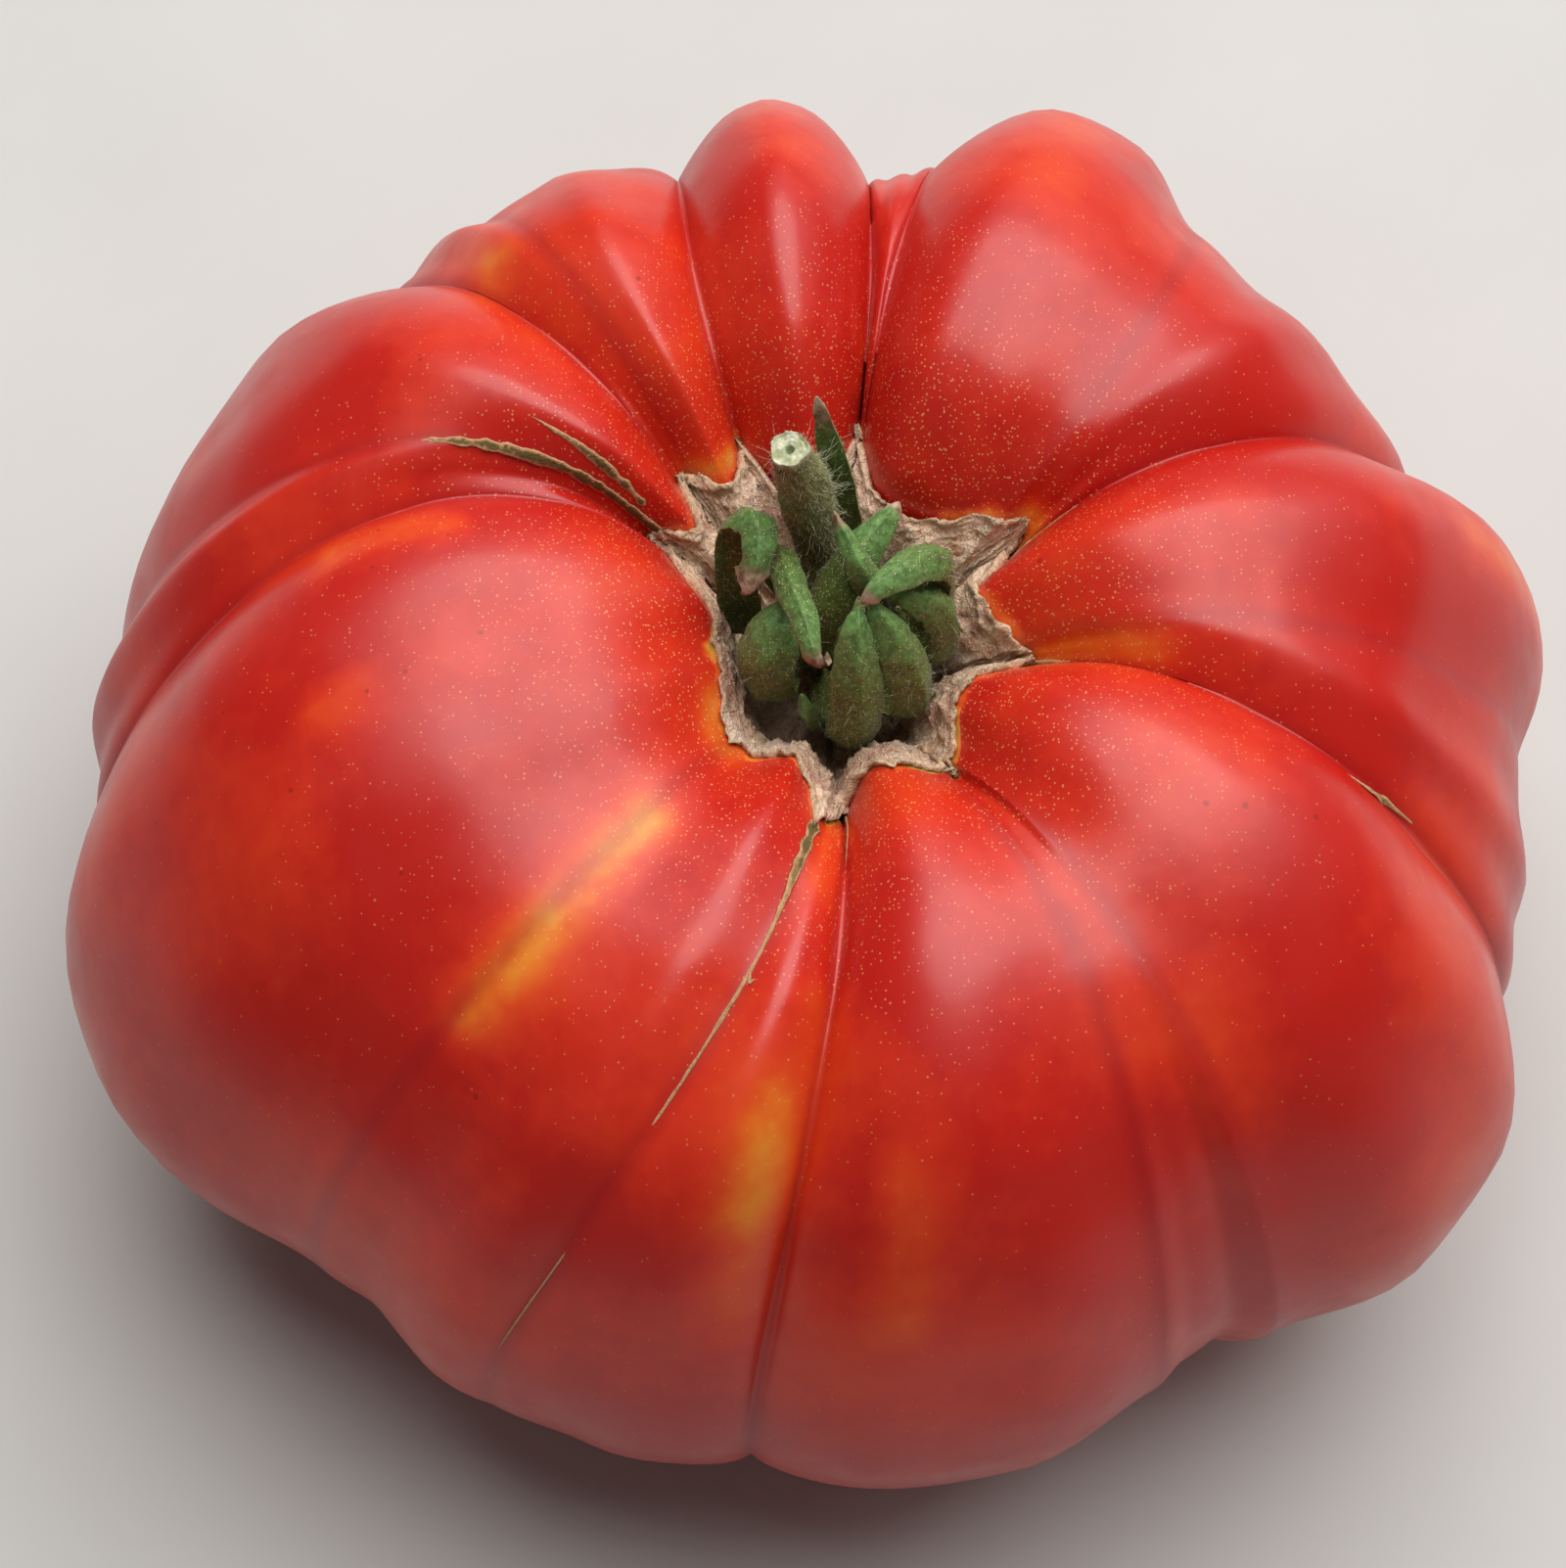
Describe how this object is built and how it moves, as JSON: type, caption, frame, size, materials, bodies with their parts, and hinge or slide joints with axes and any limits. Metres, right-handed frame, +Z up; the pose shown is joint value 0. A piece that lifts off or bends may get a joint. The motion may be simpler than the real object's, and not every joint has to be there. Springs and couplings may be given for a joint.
{
  "type": "tomato",
  "caption": "Large ribbed beefsteak tomato as picked, with a cut stem and curled sepals in its stem hollow.",
  "frame": {"origin": "middle of the fruit seen from above, on the surface that it rests on", "axes": "+Z up, along the cut stem; +Y away from the side that the biggest lobe and the front furrows face; +X to the right of it"},
  "size_m": [0.1306, 0.128, 0.0815],
  "materials": {
    "skin": "gloss",
    "stem": "matte",
    "sepal": "matte"
  },
  "bodies": {
    "root": {"fruit": "skin", "stem": "stem", "sepal_right_upper": "sepal", "sepal_small": "sepal", "sepal_back": "sepal", "sepal_slim": "sepal", "sepal_left": "sepal", "sepal_lower_left": "sepal", "sepal_diagonal": "sepal", "sepal_spur": "sepal", "sepal_front": "sepal", "sepal_front_right": "sepal", "sepal_right": "sepal"}
  },
  "joints": []
}
